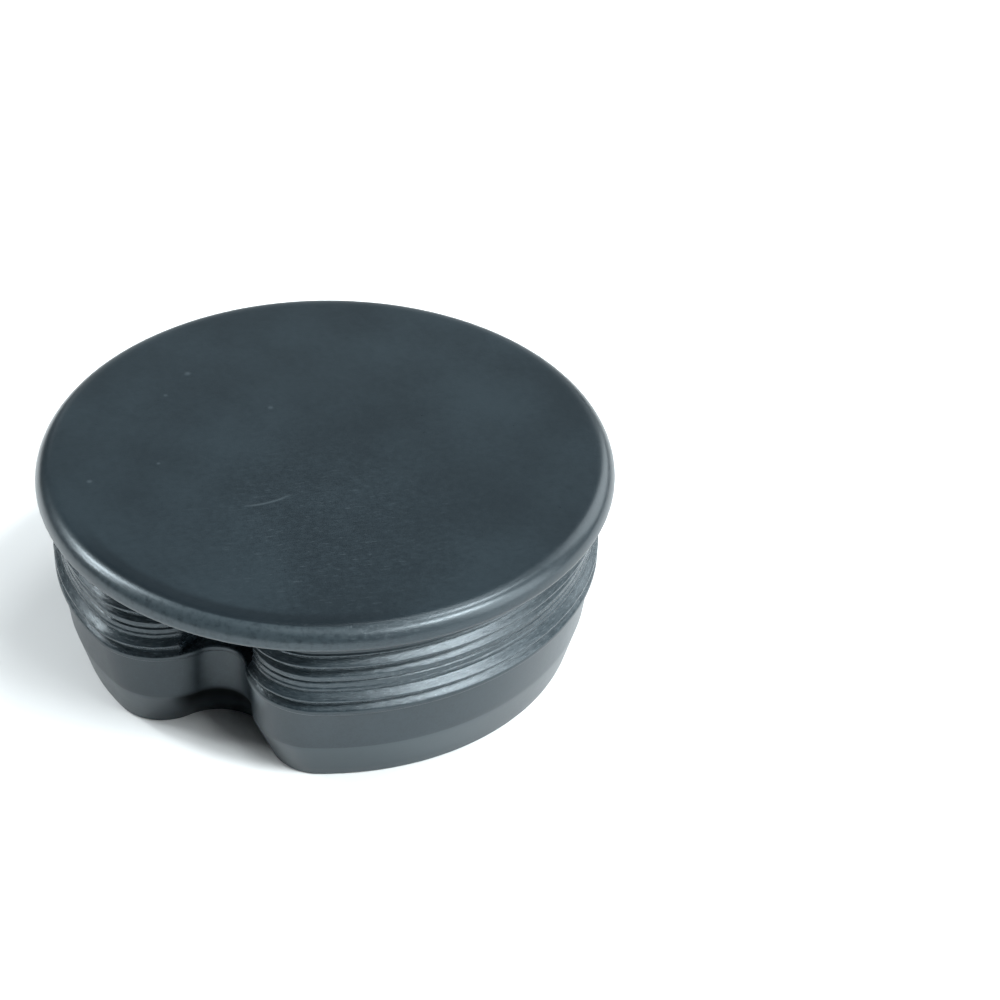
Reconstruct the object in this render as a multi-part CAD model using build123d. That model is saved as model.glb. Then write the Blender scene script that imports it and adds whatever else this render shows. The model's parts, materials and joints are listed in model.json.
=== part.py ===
from build123d import *
import math
import os

# Push-in end cap for a round tube that has a rounded groove rolled along it.
# One moulded piece: a full round head with a rounded rim, and a hollow ribbed
# shank that goes inside the tube. The shank's outline is a circle with one
# rounded notch, which lets the tube's groove pass. The ribs and grooves follow
# that outline over the two lips beside the notch and stop there: above the
# skirt the notch opens into a round plain recess. The skirt's own lip carries
# on through the notch. Below it the skirt tapers
# round the outside but stands nearly upright in the notch, so the lead-in
# chamfer cuts deeper there.
# Millimetres. +Z is the cap's axis, up through the head; z = 0 is the open rim
# it stands on. The notch is centred on -Y.

# ---- driving dimensions -------------------------------------------------
HEAD_R = 38.2          # head radius, just covers a 76.1 mm tube
HEIGHT = 27.2          # overall height
SEAT_Z = 24.0          # underside of the head, where the tube's end sits
RIM_TOP_R = 2.4        # rounding of the head's upper edge
RIM_LOW_R = 0.7        # rounding of the head's lower edge
CEILING_Z = 23.4       # inside face of the head, leaves 3.8 mm of head

CREST_R = 36.3         # rib crest radius: bites the 72.1 mm bore of the tube

NOTCH_R = 3.75         # notch floor radius, measured at crest level
NOTCH_D = 30.2         # distance of the notch floor's centre from the axis
LIP_R = 9.75           # radius of the two lips beside the notch, crest level
RECESS_R = 5.0         # plain recess in the notch above the skirt's lip
RECESS_D = 29.2        # distance of its centre from the axis
RECESS_Z = 13.30       # and its floor

RIM_R = 32.95          # outer radius of the standing rim
CHAMFER_R = 34.72      # radius where the lead-in chamfer meets the skirt
CHAMFER_Z = 5.85       # and its height
SKIRT_R = 35.70        # radius at the skirt's top
SKIRT_Z = 12.10        # and its height
NOTCH_IN_RIM = 3.25    # notch wall, measured in from crest level, at the rim
NOTCH_IN_CHAMFER = 0.76    # and where the chamfer meets the skirt
RIM_OUT_FILLET = 0.35  # outer edge of the standing rim

CORE_OFF = 5.9         # inner wall, measured in from crest level, at the rim
CORE_DRAFT = 1.5       # degrees, inner wall draft
CORE_FILLET = 1.5      # where the inner wall meets the ceiling
RIM_IN_FILLET = 0.5    # inner edge of the standing rim

# ---- upper shank section: radius, height and corner radius, from the skirt up
# Each rib leans in below at 45 degrees, has a narrow crest land and a
# 45-degree shoulder back in above it. The skirt ends in a lip, a low band with
# a fine groove stands above the lower rib, and right under the head there is a
# plain collar.
SECTION = [
    (SKIRT_R, SKIRT_Z, 0.0),
    (36.22, 12.50, 0.20),
    (36.25, 13.06, 0.15),   # skirt's upper lip
    (35.45, 13.84, 0.12),   # groove between skirt and lower rib
    (36.30, 14.62, 0.12),   # lower rib, crest land begins
    (36.30, 14.86, 0.12),   # crest land ends
    (35.38, 15.66, 0.06),   # foot of the lower rib's shoulder
    (35.52, 15.84, 0.08),   # low band above it
    (35.52, 16.20, 0.10),
    (35.36, 16.38, 0.15),
    (35.38, 17.00, 0.10),
    (35.08, 17.18, 0.06),   # fine groove in the band
    (35.43, 17.36, 0.12),   # the band's upper lip
    (35.45, 18.08, 0.15),
    (34.74, 18.77, 0.12),   # groove between the ribs
    (36.30, 20.16, 0.12),   # upper rib, crest land begins
    (36.30, 20.40, 0.12),   # crest land ends
    (35.45, 21.20, 0.08),   # foot of the upper rib's shoulder
    (36.20, 21.94, 0.10),   # collar under the head begins
    (36.20, 22.12, 0.10),
    (36.03, 22.30, 0.15),
    (36.00, 24.00, 0.00),   # meets the head
]

# ---- outline: the main circle, two lips and the notch floor, all tangent ------
def tangency(main_in, notch_in):
    """Radii, lip centre and tangent angles of the outline moved in from crest level.

    The main circle and the lips move in by main_in, the notch wall by notch_in.
    """
    rc, rl, rn = CREST_R - main_in, LIP_R - main_in, NOTCH_R + notch_in
    a, b = rc - rl, rn + rl      # lip centre's distance from the axis and from the notch centre
    u = (a * a - b * b + NOTCH_D * NOTCH_D) / (2 * NOTCH_D)   # along -Y
    v = math.sqrt(a * a - u * u)                              # sideways
    lip_ang = math.degrees(math.atan2(v, u))                  # where lip meets circle, from -Y
    neck_ang = math.degrees(math.atan2(v, NOTCH_D - u))       # lip centre seen from the notch centre, from +Y
    return rc, rl, rn, u, v, lip_ang, neck_ang


NOTCH_C = (0.0, -NOTCH_D)
_, _, _, U, V, LIP_ANG, NECK_ANG = tangency(0.0, 0.0)
LIP_CR = (V, -U)
LIP_CL = (-V, -U)


def at(c, ang, r):
    """Point at distance r from c, direction ang in degrees from +X."""
    return (c[0] + r * math.cos(math.radians(ang)), c[1] + r * math.sin(math.radians(ang)))


def section_face(inner_off, top_z, flip):
    """Closed wall section, x = radius minus CREST_R (mirrored if flip)."""
    pts = [(r - CREST_R, z) for r, z, _ in SECTION]
    rad = [f for _, _, f in SECTION]
    s = -1.0 if flip else 1.0
    loop = [(-inner_off, SKIRT_Z)] + pts + [(pts[-1][0], top_z), (-inner_off, top_z)]
    loop = [(s * x, z) for x, z in loop]
    radii = [0.0] + rad + [0.0, 0.0]
    return loop, radii


def swept_wall(centre, path_r, start_ang, sweep_ang, flip, inner_off, top_z):
    """The wall section carried round one arc of the outline.

    path_r is the arc's radius at crest level. On the notch floor the material
    is outside the arc, so the section is flipped.
    """
    loop, radii = section_face(inner_off, top_z, flip)
    loop = [(path_r + x, z) for x, z in loop]
    pln = Plane(origin=(centre[0], centre[1], 0),
                x_dir=(math.cos(math.radians(start_ang)), math.sin(math.radians(start_ang)), 0),
                z_dir=(math.sin(math.radians(start_ang)), -math.cos(math.radians(start_ang)), 0))
    wire = rounded_loop(loop, radii)
    face = pln * Face(wire)
    axis = Axis((centre[0], centre[1], 0), (0, 0, 1))
    return revolve(face, axis=axis, revolution_arc=sweep_ang)


def rounded_loop(loop, radii):
    """Closed wire of straight runs joined by tangent arcs."""
    n = len(loop)
    ins, outs, mids = [], [], []
    for i in range(n):
        p0, p1, p2 = Vector(*loop[i - 1]), Vector(*loop[i]), Vector(*loop[(i + 1) % n])
        a = (p0 - p1).normalized()
        b = (p2 - p1).normalized()
        r = radii[i]
        if r <= 0:
            ins.append(p1)
            outs.append(p1)
            mids.append(None)
            continue
        half = math.acos(max(-1.0, min(1.0, a.dot(b)))) / 2
        t = r / math.tan(half)
        ins.append(p1 + a * t)
        outs.append(p1 + b * t)
        c = p1 + (a + b).normalized() * (r / math.sin(half))
        mids.append(c + (p1 - c).normalized() * r)
    edges = []
    for i in range(n):
        j = (i + 1) % n
        if mids[i] is not None:
            edges.append(ThreePointArc(ins[i], mids[i], outs[i]))
        if (ins[j] - outs[i]).length > 1e-6:
            edges.append(Line(outs[i], ins[j]))
    return Wire(edges)


def outline(main_in, notch_in, z=0.0):
    """The shank's outline moved in from crest level, at height z."""
    rc, rl, rn, u, v, lip_ang, neck_ang = tangency(main_in, notch_in)
    c_right, c_left = (v, -u), (-v, -u)
    a_r, a_l = -90 + lip_ang, -90 - lip_ang
    n_r, n_l = 90 - neck_ang, 90 + neck_ang
    far = at((0, 0), 90, rc)
    top_r = at(NOTCH_C, n_r, rn)
    top_l = at(NOTCH_C, n_l, rn)
    floor = at(NOTCH_C, 90, rn)
    lip_mid_r = at(c_right, ((n_r - 180) + a_r) / 2, rl)
    lip_mid_l = at(c_left, ((n_l + 180) + (a_l + 360)) / 2, rl)
    c_r = at((0, 0), a_r, rc)
    c_l = at((0, 0), a_l, rc)

    def p(q):
        return (q[0], q[1], z)

    return Wire([
        ThreePointArc(p(c_r), p(far), p(c_l)),
        ThreePointArc(p(c_l), p(lip_mid_l), p(top_l)),
        ThreePointArc(p(top_l), p(floor), p(top_r)),
        ThreePointArc(p(top_r), p(lip_mid_r), p(c_r)),
    ])


# ---- shank wall, one piece of the outline at a time ----------------------
WALL_IN = 8.0          # the swept section reaches in to here; the core cuts it back
TOP_JOIN = SEAT_Z + 0.4
a_r = -90 + LIP_ANG
n_r = 90 - NECK_ANG
lip_sweep = a_r - (n_r - 180)
main = swept_wall((0, 0), CREST_R, a_r, 360 - 2 * LIP_ANG, False, WALL_IN, TOP_JOIN)
lip_right = swept_wall(LIP_CR, LIP_R, n_r - 180, lip_sweep, False, WALL_IN, TOP_JOIN)
lip_left = swept_wall(LIP_CL, LIP_R, -90 - LIP_ANG, lip_sweep, False, WALL_IN, TOP_JOIN)
notch = swept_wall(NOTCH_C, NOTCH_R, n_r, 2 * NECK_ANG, True, WALL_IN, TOP_JOIN)
fill = WALL_IN - 1.0
core_fill = extrude(Face(outline(fill, fill, SKIRT_Z)), amount=TOP_JOIN - SKIRT_Z)
upper = main + lip_right + notch + lip_left + core_fill

# ---- skirt and lead-in chamfer, straight from outline to outline -----------
at_rim = outline(CREST_R - RIM_R, NOTCH_IN_RIM, 0.0)
at_crease = outline(CREST_R - CHAMFER_R, NOTCH_IN_CHAMFER, CHAMFER_Z)
at_top = outline(CREST_R - SKIRT_R, CREST_R - SKIRT_R, SKIRT_Z)
chamfer_part = loft([Face(at_rim), Face(at_crease)], ruled=True)
skirt_part = loft([Face(at_crease), Face(at_top)], ruled=True)
shank = upper + skirt_part + chamfer_part

# ---- plain recess in the notch, from the skirt's lip up to the head ----------
shank -= Pos(0, -RECESS_D, RECESS_Z) * Cylinder(
    RECESS_R, TOP_JOIN - RECESS_Z, align=(Align.CENTER, Align.CENTER, Align.MIN))

# ---- head ------------------------------------------------------------------
k = math.sqrt(0.5)
head_wire = Wire([
    Line((0, SEAT_Z), (HEAD_R - RIM_LOW_R, SEAT_Z)),
    ThreePointArc((HEAD_R - RIM_LOW_R, SEAT_Z),
                  (HEAD_R - RIM_LOW_R + RIM_LOW_R * k, SEAT_Z + RIM_LOW_R - RIM_LOW_R * k),
                  (HEAD_R, SEAT_Z + RIM_LOW_R)),
    Line((HEAD_R, SEAT_Z + RIM_LOW_R), (HEAD_R, HEIGHT - RIM_TOP_R)),
    ThreePointArc((HEAD_R, HEIGHT - RIM_TOP_R),
                  (HEAD_R - RIM_TOP_R + RIM_TOP_R * k, HEIGHT - RIM_TOP_R + RIM_TOP_R * k),
                  (HEAD_R - RIM_TOP_R, HEIGHT)),
    Line((HEAD_R - RIM_TOP_R, HEIGHT), (0, HEIGHT)),
    Line((0, HEIGHT), (0, SEAT_Z)),
])
head = revolve(Plane.XZ * Face(head_wire), axis=Axis.Z, revolution_arc=360)
body = shank + head

# ---- hollow inside ----------------------------------------------------------
core = extrude(Face(outline(CORE_OFF, CORE_OFF)), amount=CEILING_Z, taper=CORE_DRAFT)
core = fillet(core.faces().sort_by(Axis.Z)[-1].edges(), CORE_FILLET)
cap = body - core

# round both edges of the standing rim
rim = cap.faces().filter_by(GeomType.PLANE).sort_by(Axis.Z)[0]
inner = sorted(rim.wires(), key=lambda w: w.length)[0]
cap = fillet(inner.edges(), RIM_IN_FILLET)
rim = cap.faces().filter_by(GeomType.PLANE).sort_by(Axis.Z)[0]
outer = sorted(rim.wires(), key=lambda w: w.length)[-1]
cap = fillet(outer.edges(), RIM_OUT_FILLET)

solids = cap.solids()
print("solids", len(solids), "volume", round(sum(s.volume for s in solids), 1), "valid", [s.is_valid for s in solids])
bb = solids[0].bounding_box()
print("box", bb.min, bb.max)

os.makedirs("parts", exist_ok=True)
piece = solids[0]
piece.label = "end_cap"
export_step(piece, "parts/end_cap.step")
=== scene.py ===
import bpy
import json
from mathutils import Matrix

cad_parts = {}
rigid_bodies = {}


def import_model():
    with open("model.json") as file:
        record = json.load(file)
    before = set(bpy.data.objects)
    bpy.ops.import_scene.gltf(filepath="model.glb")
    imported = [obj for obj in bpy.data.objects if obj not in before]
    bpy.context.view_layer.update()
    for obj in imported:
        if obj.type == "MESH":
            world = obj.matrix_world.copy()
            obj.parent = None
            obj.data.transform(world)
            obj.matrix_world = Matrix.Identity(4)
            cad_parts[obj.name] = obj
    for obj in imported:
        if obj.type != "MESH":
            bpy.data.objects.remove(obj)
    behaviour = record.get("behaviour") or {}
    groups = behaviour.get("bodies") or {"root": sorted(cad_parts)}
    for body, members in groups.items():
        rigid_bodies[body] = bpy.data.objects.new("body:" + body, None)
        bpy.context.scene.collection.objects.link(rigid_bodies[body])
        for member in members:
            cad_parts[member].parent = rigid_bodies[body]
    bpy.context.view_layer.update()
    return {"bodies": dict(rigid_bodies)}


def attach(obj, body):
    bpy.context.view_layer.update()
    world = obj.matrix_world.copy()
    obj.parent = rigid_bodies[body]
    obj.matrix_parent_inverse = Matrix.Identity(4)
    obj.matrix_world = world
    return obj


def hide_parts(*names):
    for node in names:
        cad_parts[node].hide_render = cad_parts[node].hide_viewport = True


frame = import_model()

import json
import math

import bpy
import numpy as np
from mathutils import Matrix, Vector, noise

# Looks of a push-in end cap for a round tube with a rolled groove. Lengths are
# in millimetres here and go to metres when a mesh is made. +Z is the cap's
# axis, z = 0 the rim it stands on, and the notch is centred on -Y.
MM = 0.001

# ---------------------------------------------------------------- dimensions
HEAD_R, HEIGHT, SEAT_Z = 38.2, 27.2, 24.0
RIM_TOP_R, RIM_LOW_R = 2.4, 0.7
CEILING_Z = 23.4
CREST_R = 36.3
NOTCH_R, NOTCH_D, LIP_R = 3.75, 30.2, 9.75
RECESS_R, RECESS_D, RECESS_Z = 5.0, 29.2, 13.30
RIM_R, CHAMFER_R, CHAMFER_Z, SKIRT_R, SKIRT_Z = 32.95, 34.72, 5.85, 35.70, 12.10
NOTCH_IN_RIM, NOTCH_IN_CHAMFER = 3.25, 0.76
RIM_OUT_FILLET = 0.35
CORE_OFF, CORE_DRAFT, CORE_FILLET, RIM_IN_FILLET = 5.9, 1.5, 1.5, 0.5

# radius, height, corner radius of the upper shank's section, from the skirt up
SECTION = [
    (SKIRT_R, SKIRT_Z, 0.0), (36.22, 12.50, 0.20), (36.25, 13.06, 0.15), (35.45, 13.84, 0.12), (36.30, 14.62, 0.12),
    (36.30, 14.86, 0.12), (35.38, 15.66, 0.06), (35.52, 15.84, 0.08), (35.52, 16.20, 0.10), (35.36, 16.38, 0.15),
    (35.38, 17.00, 0.10), (35.08, 17.18, 0.06), (35.43, 17.36, 0.12), (35.45, 18.08, 0.15), (34.74, 18.77, 0.12),
    (36.30, 20.16, 0.12), (36.30, 20.40, 0.12), (35.45, 21.20, 0.08), (36.20, 21.94, 0.10), (36.20, 22.12, 0.10),
    (36.03, 22.30, 0.15), (36.00, 24.00, 0.00),
]

# ------------------------------------------------------------ the notch path
N_CIRCLE, N_LIP, N_NOTCH = 520, 48, 40


def ring(main_in, notch_in):
    """Outline points moved in from crest level, and their outward directions, counterclockwise."""
    rc, rl, rn = CREST_R - main_in, LIP_R - main_in, NOTCH_R + notch_in
    a, b = rc - rl, rn + rl
    u = (a * a - b * b + NOTCH_D * NOTCH_D) / (2 * NOTCH_D)
    v = math.sqrt(a * a - u * u)
    lip = math.degrees(math.atan2(v, u))
    neck = math.degrees(math.atan2(v, NOTCH_D - u))
    xy, out = [], []

    def arc(c, r, a0, a1, n, side):
        t = np.radians(a0 + (a1 - a0) * np.arange(n) / n)
        d = np.column_stack([np.cos(t), np.sin(t)])
        xy.append(np.array(c) + r * d)
        out.append(side * d)

    arc((0, 0), rc, -90 + lip, 270 - lip, N_CIRCLE, 1)
    arc((-v, -u), rl, 270 - lip, 270 + neck, N_LIP, 1)
    arc((0, -NOTCH_D), rn, 90 + neck, 90 - neck, N_NOTCH, -1)
    arc((v, -u), rl, 270 - neck, 270 + lip, N_LIP, 1)
    return np.concatenate(xy), np.concatenate(out)


N = N_CIRCLE + 2 * N_LIP + N_NOTCH


# --------------------------------------------------------------- the section
def rounded(points, step, arc_step):
    """(x, z) samples of a polyline with rounded corners."""
    out = [points[0][:2]]
    for i in range(1, len(points)):
        p1 = np.array(points[i][:2], float)
        if i + 1 < len(points) and points[i][2] > 0:
            p0 = np.array(points[i - 1][:2], float)
            p2 = np.array(points[i + 1][:2], float)
            a = (p0 - p1) / np.linalg.norm(p0 - p1)
            b = (p2 - p1) / np.linalg.norm(p2 - p1)
            half = math.acos(max(-1, min(1, a @ b))) / 2
            t = points[i][2] / math.tan(half)
            s, e = p1 + a * t, p1 + b * t
            c = p1 + (a + b) / np.linalg.norm(a + b) * points[i][2] / math.sin(half)
            turn = math.pi - 2 * half
            line_to(out, s, step)
            n = max(2, math.ceil(turn / arc_step))
            for k in range(1, n + 1):
                w = k / n
                d0, d1 = s - c, e - c
                th = turn
                v = (math.sin((1 - w) * th) * d0 + math.sin(w * th) * d1) / math.sin(th)
                out.append(tuple(c + v))
        else:
            line_to(out, p1, step)
    return out


def line_to(out, p, step):
    q = np.array(out[-1])
    d = np.linalg.norm(p - q)
    if d < 1e-4:
        return
    n = max(1, math.ceil(d / step(float(q[1] + p[1]) / 2)))
    for k in range(1, n + 1):
        out.append(tuple(q + (p - q) * k / n))


def lower_rows():
    """Outline points, outward directions and height of each row of the chamfer and the skirt."""
    at_rim = ring(CREST_R - RIM_R, NOTCH_IN_RIM)
    at_crease = ring(CREST_R - CHAMFER_R, NOTCH_IN_CHAMFER)
    at_top = ring(CREST_R - SKIRT_R, CREST_R - SKIRT_R)

    def between(p, q, w):
        n = p[1] + (q[1] - p[1]) * w
        return p[0] + (q[0] - p[0]) * w, n / np.linalg.norm(n, axis=1)[:, None]

    rows = []
    slope = (CHAMFER_R - RIM_R) / CHAMFER_Z
    edge = rounded([(RIM_R - 0.6, 0.0, 0.0), (RIM_R, 0.0, RIM_OUT_FILLET), (CHAMFER_R, CHAMFER_Z, 0.0)],
                   lambda z: 9.0, math.radians(20))[1:-1]
    for r, z in edge:
        xy, n = between(at_rim, at_crease, z / CHAMFER_Z)
        rows.append((xy - n * (RIM_R + slope * z - r), n, z))
    for z in (1.4, 2.7, 4.0, 5.1, CHAMFER_Z - 0.14):
        rows.append((*between(at_rim, at_crease, z / CHAMFER_Z), z))
    for z in (CHAMFER_Z + 0.14, 6.5, 7.8, 9.2, 10.6, 11.6, 11.98):
        rows.append((*between(at_crease, at_top, (z - CHAMFER_Z) / (SKIRT_Z - CHAMFER_Z)), z))
    return rows


def fit_head():
    """Rounded head edge from the underside to the flat top, (radius, z)."""
    pts = []
    cx, cz = HEAD_R - RIM_LOW_R, SEAT_Z + RIM_LOW_R
    for k in range(0, 6):
        a = math.radians(-90 + 90 * k / 5)
        pts.append((cx + RIM_LOW_R * math.cos(a), cz + RIM_LOW_R * math.sin(a)))
    cx, cz = HEAD_R - RIM_TOP_R, HEIGHT - RIM_TOP_R
    for k in range(0, 11):
        a = math.radians(90 * k / 10)
        pts.append((cx + RIM_TOP_R * math.cos(a), cz + RIM_TOP_R * math.sin(a)))
    return pts


# -------------------------------------------------------------- small relief
def fbm(p, octaves=3):
    s, a, f = 0.0, 1.0, 1.0
    for _ in range(octaves):
        s += a * noise.noise(Vector((p[0] * f, p[1] * f, p[2] * f)))
        a *= 0.5
        f *= 2.03
    return s


def smooth(lo, hi, x):
    t = np.clip((x - lo) / (hi - lo), 0, 1)
    return t * t * (3 - 2 * t)


def relief(xyz, rib):
    """Outward displacement in mm: soft unevenness everywhere, drawn rough lines on the ribs."""
    d = np.zeros(len(xyz))
    for i, (p, w) in enumerate(zip(xyz, rib)):
        d[i] = 0.020 * fbm((p[0] * 0.11 + 7, p[1] * 0.11, p[2] * 0.16), 2)
        if w > 0.01:
            d[i] += w * 0.030 * fbm((p[0] * 0.9, p[1] * 0.9 + 31, p[2] * 3.1), 3)
    return d


# ------------------------------------------------------------------ the mesh
verts, faces = [], []


def add_ring(xy, z):
    base = len(verts)
    zz = np.broadcast_to(np.asarray(z, float), (len(xy),))
    verts.extend(np.column_stack([xy, zz]).tolist())
    return base


def bridge(a, b):
    """Quads between two rings, outward for a ring b above or outside a."""
    for i in range(N):
        j = (i + 1) % N
        faces.append((a + i, a + j, b + j, b + i))


def recessed(xy):
    """Outline points that fall inside the round recess, moved out to its wall; the ribs' ends are eased."""
    c = np.array([0.0, -RECESS_D])
    d = xy - c
    r = np.linalg.norm(d, axis=1)
    wall, ease = RECESS_R + 0.01, 0.22
    out = wall + ease * np.log1p(np.exp(np.clip((r - wall) / ease, -30, 30)))
    return c + d * np.where(r < wall + 2.0, out / r, 1.0)[:, None]


def cap_mesh():
    # outer side of the shank
    rows = lower_rows()
    for r, z in rounded(SECTION, lambda z: 0.45, math.radians(36)):
        xy, n = ring(CREST_R - r, CREST_R - r)
        rows.append((xy, n, z))
    # the recess in the notch starts on a floor of its own: one row just below
    # it and one just above
    i = next(k for k, row in enumerate(rows) if row[2] > RECESS_Z)
    lo, hi = rows[i - 1], rows[i]
    both = []
    for zz in (RECESS_Z - 0.015, RECESS_Z + 0.015):
        w = (zz - lo[2]) / (hi[2] - lo[2])
        both.append((lo[0] + (hi[0] - lo[0]) * w, lo[1], zz))
    rows[i:i] = both
    outer = []
    for xy, n, z in rows:
        rib = float(smooth(12.9, 13.3, z) * (1 - smooth(21.9, 22.4, z)))
        d = relief(np.column_stack([xy, np.full(N, z)]), np.full(N, rib))
        if z < 0.9:
            d *= z / 0.9
        xy = xy + n * d[:, None]
        if z > RECESS_Z:
            xy = recessed(xy)
        outer.append(add_ring(xy, z))
    for a, b in zip(outer, outer[1:]):
        bridge(a, b)

    # head: underside, rounded edge, flat top
    base = ring(0, 0)[0]
    ang = np.unwrap(np.arctan2(base[:, 1], base[:, 0]))
    cs = np.column_stack([np.cos(ang), np.sin(ang)])
    last = outer[-1]
    for r, z in fit_head():
        pts = np.column_stack([cs * r, np.full(N, z)])
        d = np.array([fbm((p[0] * 0.09 + 3, p[1] * 0.09 + 11, p[2] * 0.2), 2) for p in pts])
        fine = np.array([fbm((p[0] * 0.55, p[1] * 0.55, p[2] * 0.9 + 5), 2) for p in pts])
        dip = 0.022 * (0.75 + d) + 0.006 * (0.75 + fine)
        b = add_ring(cs * (r - np.clip(dip, 0, 0.08))[:, None], z)
        bridge(last, b)
        last = b
    for r in (35.2, 33.6, 31.0, 27.0, 21.5, 14.5, 7.0):
        b = add_ring(cs * r, HEIGHT - 0.03 * float(smooth(36.0, 24.0, r)))
        bridge(last, b)
        last = b
    centre = len(verts)
    verts.append([0.0, 0.0, HEIGHT - 0.03])
    for i in range(N):
        faces.append((last + i, last + (i + 1) % N, centre))

    # inside: standing rim, its rounded inner edge, drafted wall, ceiling
    tan = math.tan(math.radians(CORE_DRAFT))
    inner = [(-CORE_OFF + RIM_IN_FILLET, 0.0)]
    for k in range(1, 4):
        a = math.radians(90 * k / 3)
        inner.append((-CORE_OFF + RIM_IN_FILLET * (1 - math.sin(a)), RIM_IN_FILLET * (1 - math.cos(a))))
    z1 = CEILING_Z - CORE_FILLET
    for k in range(1, 6):
        z = RIM_IN_FILLET + (z1 - RIM_IN_FILLET) * k / 5
        inner.append((-CORE_OFF - z * tan, z))
    off1 = CORE_OFF + z1 * tan
    for k in range(1, 5):
        a = math.radians(90 * k / 4)
        inner.append((-off1 - CORE_FILLET * (1 - math.cos(a)), z1 + CORE_FILLET * math.sin(a)))
    last = outer[0]
    for off, z in inner:
        xy, _ = ring(-off, -off)
        b = add_ring(xy, z)
        bridge(b, last)
        last = b
    top_xy = np.array(verts[last:last + N])[:, :2]
    for f in (0.72, 0.38):
        b = add_ring(top_xy * f, CEILING_Z)
        bridge(b, last)
        last = b
    centre = len(verts)
    verts.append([0.0, 0.0, CEILING_Z])
    for i in range(N):
        faces.append((last + (i + 1) % N, last + i, centre))


cap_mesh()
co = np.array(verts)
co[:, 2] = np.clip(co[:, 2], 0, HEIGHT)
me = bpy.data.meshes.new("cap")
me.from_pydata((co * MM).tolist(), [], faces)
me.validate()
me.polygons.foreach_set("use_smooth", np.ones(len(me.polygons), bool))
me.update()
cap = bpy.data.objects.new("cap_moulding", me)
bpy.context.scene.collection.objects.link(cap)
print("cap triangles", sum(len(p.vertices) - 2 for p in me.polygons))


# --------------------------------------------------------------- the plastic
# light specks on the head (x, y, radius), a short curved scratch, and where the edge is scuffed
SPECKS = [(-25.34, 7.72, 0.42), (-11.54, 5.91, 0.34), (-24.32, -19.62, 0.36), (-25.4, 1.9, 0.28), (-18.4, -12.0, 0.25)]
SCRATCH_CENTRE, SCRATCH_R, SCRATCH_MID = (-9.44, -6.23), 10.40, (-1.46, -12.90)
SCUFF_MID = (24.2, -27.9)
DARK, LIGHT = (0.0088, 0.0138, 0.0176), (0.0148, 0.0225, 0.0280)
ROUGH_SKIRT, ROUGH_RIB, ROUGH_HEAD = 0.34, 0.25, 0.30


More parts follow.
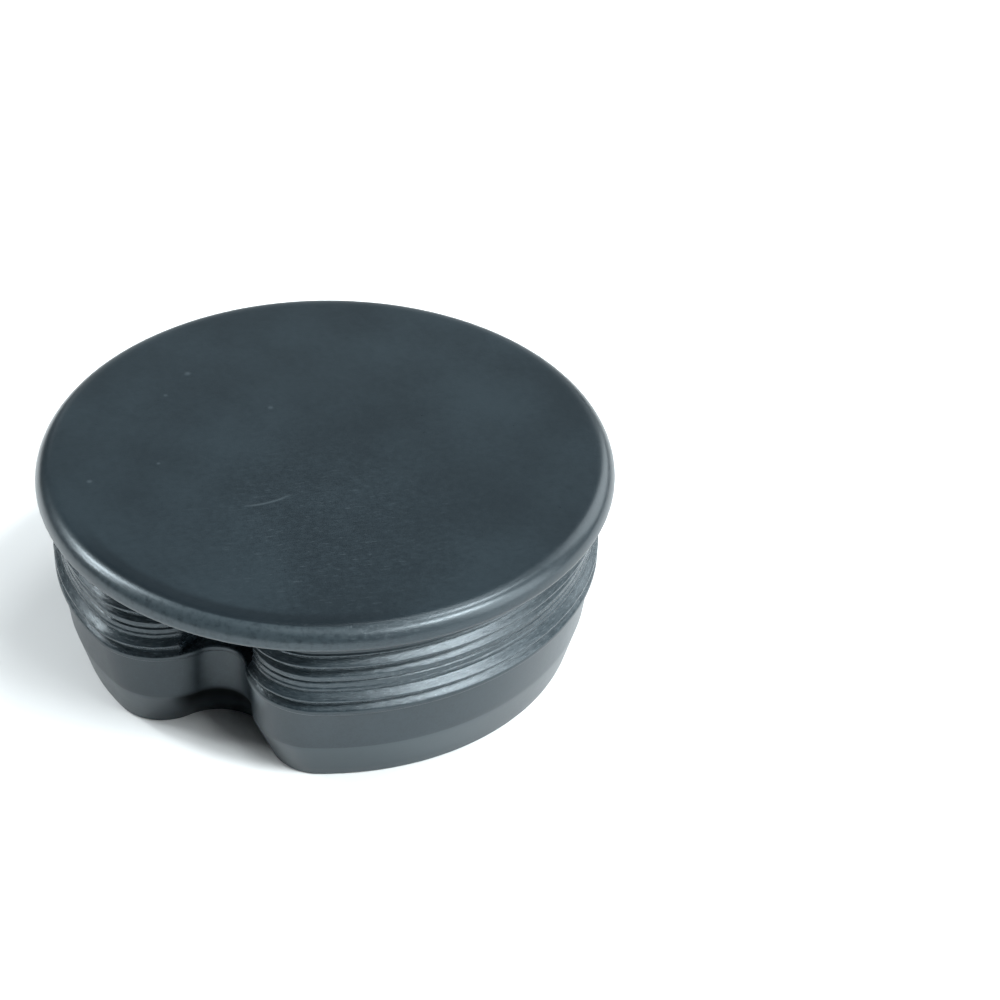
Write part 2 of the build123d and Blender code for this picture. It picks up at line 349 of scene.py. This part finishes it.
def plastic():
    mat = bpy.data.materials.new("slate_plastic")
    mat.use_nodes = True
    nt = mat.node_tree
    nt.nodes.clear()
    out = nt.nodes.new("ShaderNodeOutputMaterial")
    bsdf = nt.nodes.new("ShaderNodeBsdfPrincipled")
    nt.links.new(bsdf.outputs["BSDF"], out.inputs["Surface"])

    def node(kind, **kw):
        n = nt.nodes.new(kind)
        for k, v in kw.items():
            setattr(n, k, v)
        return n

    def link(a, b):
        nt.links.new(a, b)

    def maths(op, a, b=None, clamp=False):
        n = node("ShaderNodeMath", operation=op, use_clamp=clamp)
        for s, v in ((n.inputs[0], a), (n.inputs[1], b)):
            if v is None:
                continue
            if isinstance(v, (int, float)):
                s.default_value = v
            else:
                link(v, s)
        return n.outputs[0]

    def ramp(x, lo, hi):
        n = node("ShaderNodeMapRange", clamp=True, interpolation_type="SMOOTHSTEP")
        n.inputs["From Min"].default_value = lo
        n.inputs["From Max"].default_value = hi
        link(x, n.inputs["Value"])
        return n.outputs["Result"]

    tc = node("ShaderNodeTexCoord")

    def coords(sx, sy, sz, loc=(0, 0, 0)):
        n = node("ShaderNodeMapping")
        n.inputs["Scale"].default_value = (sx / MM, sy / MM, sz / MM)
        n.inputs["Location"].default_value = loc
        link(tc.outputs["Object"], n.inputs["Vector"])
        return n.outputs["Vector"]

    def cloud(vec, detail=3.0, rough=0.5):
        n = node("ShaderNodeTexNoise")
        n.inputs["Scale"].default_value = 1.0
        n.inputs["Detail"].default_value = detail
        n.inputs["Roughness"].default_value = rough
        link(vec, n.inputs["Vector"])
        return n.outputs["Fac"]

    sep = node("ShaderNodeSeparateXYZ")
    link(coords(1, 1, 1), sep.inputs[0])
    z = sep.outputs["Z"]
    rib = maths("MULTIPLY", ramp(z, 12.9, 13.3), ramp(z, 22.4, 21.9))
    head = ramp(z, 23.3, 23.9)
    flat = ramp(z, 27.0, 27.14)

    def near(x, y, zz, r0, r1):
        """1 within r0 mm of a point, fading to 0 at r1."""
        n = node("ShaderNodeVectorMath", operation="DISTANCE")
        link(coords(1, 1, 1), n.inputs[0])
        n.inputs[1].default_value = (x, y, zz)
        return ramp(n.outputs["Value"], r1, r0)

    big = cloud(coords(0.06, 0.06, 0.06), 2.0)
    fine = cloud(coords(1.3, 1.3, 1.3), 4.0, 0.6)
    grain = cloud(coords(4.2, 4.2, 4.2, (5, 2, 9)), 3.0, 0.6)
    drawn = cloud(coords(0.75, 0.75, 8.5, (3, 1, 7)), 5.0, 0.72)

    # fine rubbing lines across the head, all about one way
    turned = node("ShaderNodeMapping", vector_type="TEXTURE")
    turned.inputs["Scale"].default_value = (MM / 0.5, MM / 5.5, MM)
    turned.inputs["Rotation"].default_value = (0, 0, math.radians(42))
    link(tc.outputs["Object"], turned.inputs["Vector"])
    rubbed = cloud(turned.outputs["Vector"], 3.0, 0.6)
    across = node("ShaderNodeMapping", vector_type="TEXTURE")
    across.inputs["Scale"].default_value = (MM / 0.55, MM / 3.0, MM)
    across.inputs["Rotation"].default_value = (0, 0, math.radians(37))
    across.inputs["Location"].default_value = (3 * MM, 8 * MM, MM)
    link(tc.outputs["Object"], across.inputs["Vector"])
    thin = cloud(across.outputs["Vector"], 4.0, 0.65)

    # marks on the head: light specks and one short curved scratch
    marks = None
    for x, y, r in SPECKS:
        m = near(x, y, HEIGHT, r * 0.2, r * 1.5)
        marks = m if marks is None else maths("MAXIMUM", marks, m)
    arc = node("ShaderNodeVectorMath", operation="DISTANCE")
    link(coords(1, 1, 1), arc.inputs[0])
    arc.inputs[1].default_value = (*SCRATCH_CENTRE, HEIGHT)
    off = maths("ABSOLUTE", maths("SUBTRACT", arc.outputs["Value"], SCRATCH_R))
    scratch = maths("MULTIPLY", ramp(off, 0.32, 0.04), near(*SCRATCH_MID, HEIGHT, 1.8, 3.8))
    marks = maths("MAXIMUM", marks, scratch)

    # scuffs on the rounding of the head's edge, to the right of the notch
    scuffed = maths("MULTIPLY", near(*SCUFF_MID, 26.6, 4.5, 11.0), maths("MULTIPLY", head, ramp(flat, 1.0, 0.0)))
    scuff = maths("MULTIPLY", scuffed, ramp(cloud(coords(1.6, 1.6, 3.2, (11, 4, 2)), 5.0, 0.75), 0.50, 0.72))

    # colour: dark slate with a faint mottling
    mix = node("ShaderNodeMix", data_type="RGBA")
    mix.inputs["A"].default_value = (*DARK, 1)
    mix.inputs["B"].default_value = (*LIGHT, 1)
    used = near(9.0, -16.5, HEIGHT, 6.0, 27.0)      # where the head has been rubbed most
    calm = maths("SUBTRACT", 1.0, maths("MULTIPLY", flat, maths("SUBTRACT", 0.60, maths("MULTIPLY", used, 0.45))))
    detail = maths("MULTIPLY", maths("SUBTRACT", maths("ADD", fine, grain), 1.0), 0.30)
    detail = maths("ADD", detail, maths("MULTIPLY", maths("MULTIPLY", flat, maths("SUBTRACT", rubbed, 0.5)), 0.35))
    f = maths("ADD", maths("ADD", maths("MULTIPLY", big, 0.36), 0.32), maths("MULTIPLY", detail, calm))
    link(ramp(f, 0.40, 0.60), mix.inputs["Factor"])
    pale = node("ShaderNodeMix", data_type="RGBA")
    pale.inputs["B"].default_value = (0.040, 0.052, 0.060, 1)
    link(mix.outputs["Result"], pale.inputs["A"])
    hairs = maths("MULTIPLY", maths("MULTIPLY", flat, used), maths("MULTIPLY", ramp(thin, 0.58, 0.72), 0.60))
    link(maths("MAXIMUM", maths("MAXIMUM", maths("MULTIPLY", marks, 0.65), hairs), maths("MULTIPLY", scuff, 0.6)), pale.inputs["Factor"])
    last = [pale.outputs["Result"]]

    def tint(mask, colour):
        """Lay a colour over the last one, as far as the mask says."""
        n = node("ShaderNodeMix", data_type="RGBA")
        n.inputs["B"].default_value = (*colour, 1)
        link(last[0], n.inputs["A"])
        link(mask, n.inputs["Factor"])
        last[0] = n.outputs["Result"]

    def from_axis(x, y):
        """Distance in plan from a line parallel to the axis, mm."""
        n, xy = node("ShaderNodeVectorMath", operation="DISTANCE"), node("ShaderNodeCombineXYZ")
        link(sep.outputs["X"], xy.inputs["X"])
        link(sep.outputs["Y"], xy.inputs["Y"])
        link(xy.outputs["Vector"], n.inputs[0])
        n.inputs[1].default_value = (x, y, 0)
        return n.outputs["Value"]

    notch = from_axis(0, -NOTCH_D)
    low = ramp(z, CHAMFER_Z + 0.06, CHAMFER_Z - 0.10)
    # the lead-in chamfer is painted a little paler in front as a painted reflection of the bright floor, and in the
    # notch it is painted dark and dull as painted shade
    front = ramp(sep.outputs["Y"], -5.0, -22.0)
    tint(maths("MULTIPLY", maths("MULTIPLY", low, front), maths("MULTIPLY", ramp(notch, 8.0, 11.5), 0.75)), (0.032, 0.044, 0.050))
    # painted shade: darker colour, more roughness and less gloss on the chamfer in the notch, where the floor lies in
    # shadow
    shade = maths("MULTIPLY", ramp(z, CHAMFER_Z + 0.5, CHAMFER_Z - 0.7), ramp(notch, 6.9, 5.0))
    tint(shade, (0.0010, 0.0014, 0.0018))
    # the ribs are frosted by fine drag lines
    frost = maths("MULTIPLY", rib, ramp(drawn, 0.32, 0.60))
    tint(maths("MULTIPLY", maths("MULTIPLY", frost, ramp(notch, 5.2, 8.5)), 0.75), (0.042, 0.055, 0.063))
    # the head's edge is paler in front, mottled like wear, and the paleness is also painted light for this side of the
    # edge; the dark line just inside it on the flat top is a painted dark reflection
    worn_and_lit_edge = maths("MULTIPLY", maths("MULTIPLY", head, ramp(flat, 1.0, 0.0)), near(3.0, -38.0, 25.5, 10.0, 27.0))
    tint(maths("MULTIPLY", worn_and_lit_edge, maths("MULTIPLY", ramp(fine, 0.16, 0.62), 0.8)), (0.036, 0.048, 0.055))
    line = maths("MULTIPLY", maths("MULTIPLY", flat, ramp(from_axis(0, 0), 33.6, 35.0)), near(3.0, -36.0, 27.0, 14.0, 30.0))
    tint(maths("MULTIPLY", line, 0.8), (0.0050, 0.0085, 0.0115))
    # a painted highlight on the skirt's lip where it turns into the notch
    tint(maths("MULTIPLY", near(6.2, -31.4, 12.2, 0.9, 3.2), 0.8), (0.105, 0.125, 0.135))
    link(last[0], bsdf.inputs["Base Color"])

    # roughness: skirt, ribs and head differ a little, as the mould was finished
    rough = maths("ADD", maths("MULTIPLY", rib, ROUGH_RIB - ROUGH_SKIRT), ROUGH_SKIRT)
    rough = maths("ADD", rough, maths("MULTIPLY", head, ROUGH_HEAD - ROUGH_SKIRT))
    rough = maths("ADD", rough, maths("MULTIPLY", maths("SUBTRACT", fine, 0.5), 0.10))
    rough = maths("ADD", rough, maths("MULTIPLY", rib, maths("MULTIPLY", maths("SUBTRACT", drawn, 0.5), 0.20)))
    rough = maths("ADD", rough, maths("MULTIPLY", scuff, 0.12))
    rough = maths("ADD", rough, maths("MULTIPLY", shade, 0.30))
    link(rough, bsdf.inputs["Roughness"])
    bsdf.inputs["IOR"].default_value = 1.5
    bsdf.inputs["Specular IOR Level"].default_value = 0.53
    # gloss fades out on the chamfer in the notch, as part of the painted shade there
    link(maths("SUBTRACT", 0.53, maths("MULTIPLY", shade, 0.45)), bsdf.inputs["Specular IOR Level"])
    bsdf.inputs["Specular Tint"].default_value = (0.846, 0.94, 1.0, 1)

    h = maths("ADD", maths("MULTIPLY", grain, 0.005), maths("MULTIPLY", fine, 0.004))
    h = maths("ADD", h, maths("MULTIPLY", maths("MULTIPLY", rib, drawn), 0.034))
    h = maths("ADD", h, maths("MULTIPLY", scuff, -0.010))
    h = maths("ADD", h, maths("MULTIPLY", marks, 0.006))
    bump = node("ShaderNodeBump")
    bump.inputs["Strength"].default_value = 1.0
    bump.inputs["Distance"].default_value = MM
    link(h, bump.inputs["Height"])
    link(bump.outputs["Normal"], bsdf.inputs["Normal"])
    return mat


cap.data.materials.append(plastic())
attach(cap, "root") if "root" in frame["bodies"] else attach(cap, sorted(frame["bodies"])[0])
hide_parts("end_cap")

# -------------------------------------------------------------------- camera
F_PX, DIST, ELEV, ROLL, U0, V0 = 3938.356, 14.0102, 0.66612674, -0.0127992, 327.654, 616.320
TURN = math.radians(28.65)
rz = np.array([[math.cos(TURN), -math.sin(TURN), 0], [math.sin(TURN), math.cos(TURN), 0], [0, 0, 1]])
fw = rz @ np.array([0, math.cos(ELEV), -math.sin(ELEV)])
rt = rz @ np.array([1.0, 0, 0])
up = np.cross(rt, fw)
aim = np.array([(U0 - 500) / F_PX, (V0 - 500) / F_PX, 1.0])
aim /= np.linalg.norm(aim)
ax = np.cross([0, 0, 1.0], aim)
sn, cs_ = np.linalg.norm(ax), aim[2]
ax /= sn
K = np.array([[0, -ax[2], ax[1]], [ax[2], 0, -ax[0]], [-ax[1], ax[0], 0]])
R_AIM = np.eye(3) + sn * K + (1 - cs_) * K @ K
R_ROLL = np.array([[math.cos(ROLL), -math.sin(ROLL), 0], [math.sin(ROLL), math.cos(ROLL), 0], [0, 0, 1]])
M = R_AIM @ R_ROLL @ np.stack([rt, -up, fw])
cam_data = bpy.data.cameras.new("camera")
cam_data.sensor_width = 36.0
cam_data.lens = F_PX * 36.0 / 1000.0
cam_data.clip_start, cam_data.clip_end = 0.05, 20.0
cam = bpy.data.objects.new("camera", cam_data)
bpy.context.scene.collection.objects.link(cam)
rot = Matrix([list(c) for c in np.stack([M[0], -M[1], -M[2]], 1)])
cam.matrix_world = Matrix.Translation(Vector(-fw * DIST * HEAD_R * MM)) @ rot.to_4x4()
bpy.context.scene.camera = cam

# --------------------------------------------------------- floor and lights
fl = bpy.data.meshes.new("floor")
s = 3.0
fl.from_pydata([(-s, -s, -0.00002), (s, -s, -0.00002), (s, s, -0.00002), (-s, s, -0.00002)], [], [(0, 1, 2, 3)])
floor = bpy.data.objects.new("floor", fl)
bpy.context.scene.collection.objects.link(floor)
fm = bpy.data.materials.new("pale_floor")
fm.use_nodes = True
fb = fm.node_tree.nodes["Principled BSDF"]
fb.inputs["Base Color"].default_value = (0.86, 0.865, 0.87, 1)
fb.inputs["Roughness"].default_value = 0.9
fb.inputs["Specular IOR Level"].default_value = 0.1
fl.materials.append(fm)


def softbox(name, direction, dist, size, watts, colour=(0.93, 0.985, 1.0)):
    """Soft light at this direction from the cap, given as seen from the camera: right, away, up."""
    d = Vector(rz @ np.array(direction, float)).normalized()
    ld = bpy.data.lights.new(name, "AREA")
    ld.shape = "RECTANGLE"
    ld.size, ld.size_y = size
    ld.energy = watts
    ld.color = colour
    lo = bpy.data.objects.new(name, ld)
    bpy.context.scene.collection.objects.link(lo)
    lo.location = d * dist + Vector((0, 0, 0.012))
    lo.rotation_euler = (-d).to_track_quat("-Z", "Y").to_euler()
    return lo


LIGHTS = [
    ("K27_60", (0.402, -0.003, 0.916), 1.2, (0.16, 0.16), 4.03),
    ("K34_60", (0.481, 0.072, 0.873), 1.2, (0.16, 0.16), 2.38),
    ("K27_72", (0.226, 0.343, 0.912), 1.2, (0.3, 0.16), 1.7),
    ("K23_45", (0.524, -0.449, 0.724), 1.2, (0.2, 0.12), 5.6),
    ("K30_45", (0.649, -0.339, 0.681), 1.2, (0.2, 0.12), 6.2),
    ("K16_45", (0.379, -0.534, 0.756), 1.2, (0.2, 0.12), 3.2),
    ("L54_57", (-0.678, 0.293, 0.673), 1.2, (0.16, 0.16), 6.0),
    ("L54_66", (-0.495, 0.426, 0.757), 1.2, (0.16, 0.16), 0.4),
    ("L47_60", (-0.587, 0.238, 0.773), 1.2, (0.16, 0.16), 1.78),
    ("L54_48", (-0.832, 0.182, 0.524), 1.2, (0.16, 0.16), 4.1),
    ("back", (0.0, 0.786, 0.618), 1.5, (0.9, 0.9), 0.17),
    ("backR", (0.65, 0.6, 0.47), 1.5, (0.9, 0.9), 10.44),
    ("backlo", (0.0, 0.95, 0.3), 1.5, (1.2, 0.6), 1.64),
    ("w35", (0.539, -0.77, 0.342), 1.5, (0.9, 0.9), 3.0),
    ("w70", (0.883, -0.321, 0.342), 1.5, (0.9, 0.9), 15.0),
    ("w105", (0.896, 0.24, 0.375), 1.5, (0.9, 0.9), 2.01),
    ("wm70", (-0.883, -0.321, 0.342), 1.5, (0.9, 0.9), 0.19),
    ("wm105", (-0.896, 0.24, 0.375), 1.5, (0.9, 0.9), 0.85),
    ("f40", (0.413, -0.492, 0.766), 1.5, (0.7, 0.7), 0.59),
    ("fhi", (0.0, -0.309, 0.951), 1.5, (0.7, 0.7), 2.63),
]
for row in LIGHTS:
    softbox(*row)

world = bpy.data.worlds.new("studio")
bpy.context.scene.world = world
world.use_nodes = True
bg = world.node_tree.nodes["Background"]
bg.inputs["Color"].default_value = (0.93, 0.96, 1.0, 1)
bg.inputs["Strength"].default_value = 0.000

vs = bpy.context.scene.view_settings
vs.view_transform = "Standard"
vs.look = "None"
vs.exposure = 0.0
vs.gamma = 1.0
